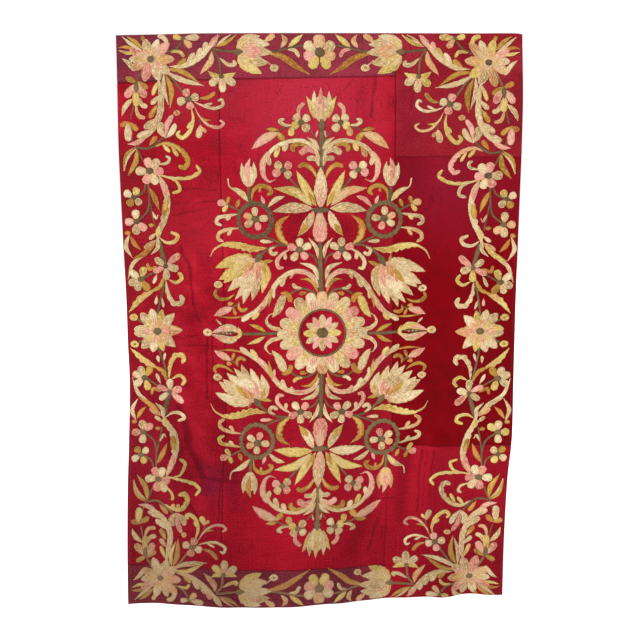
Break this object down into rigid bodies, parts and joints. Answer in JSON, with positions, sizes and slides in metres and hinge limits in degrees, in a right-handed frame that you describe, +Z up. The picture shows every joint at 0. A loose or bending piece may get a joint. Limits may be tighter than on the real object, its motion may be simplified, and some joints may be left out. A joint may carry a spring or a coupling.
{
  "type": "embroidered silk panel",
  "caption": "Large pieced silk wall hanging with chain-stitch flowers, a central medallion and a wide border, hanging straight from its top edge.",
  "frame": {"origin": "middle of the top edge, halfway through the cloth", "axes": "+Z up along the height, +X to the right seen from the front, and the front faces -Y"},
  "size_m": [1.3381, 0.0393, 1.9617],
  "materials": {
    "crimson_silk": "plain woven silk with a soft lustre",
    "dark_crimson_silk": "plain woven silk with a soft lustre, a darker dye lot",
    "plum_silk": "plain woven silk, unevenly dyed from plum to magenta red",
    "ivory_thread": "floss silk in rows of chain stitch",
    "pink_thread": "floss silk in rows of chain stitch",
    "gold_thread": "floss silk in rows of chain stitch",
    "olive_thread": "floss silk in rows of chain stitch"
  },
  "bodies": {
    "root": {"top_strip": "plum_silk", "left_width": "crimson_silk", "centre_width": "crimson_silk", "right_top_piece": "crimson_silk", "right_middle_piece": "dark_crimson_silk", "right_bottom_piece": "crimson_silk", "bottom_strip": "plum_silk"}
  },
  "joints": []
}
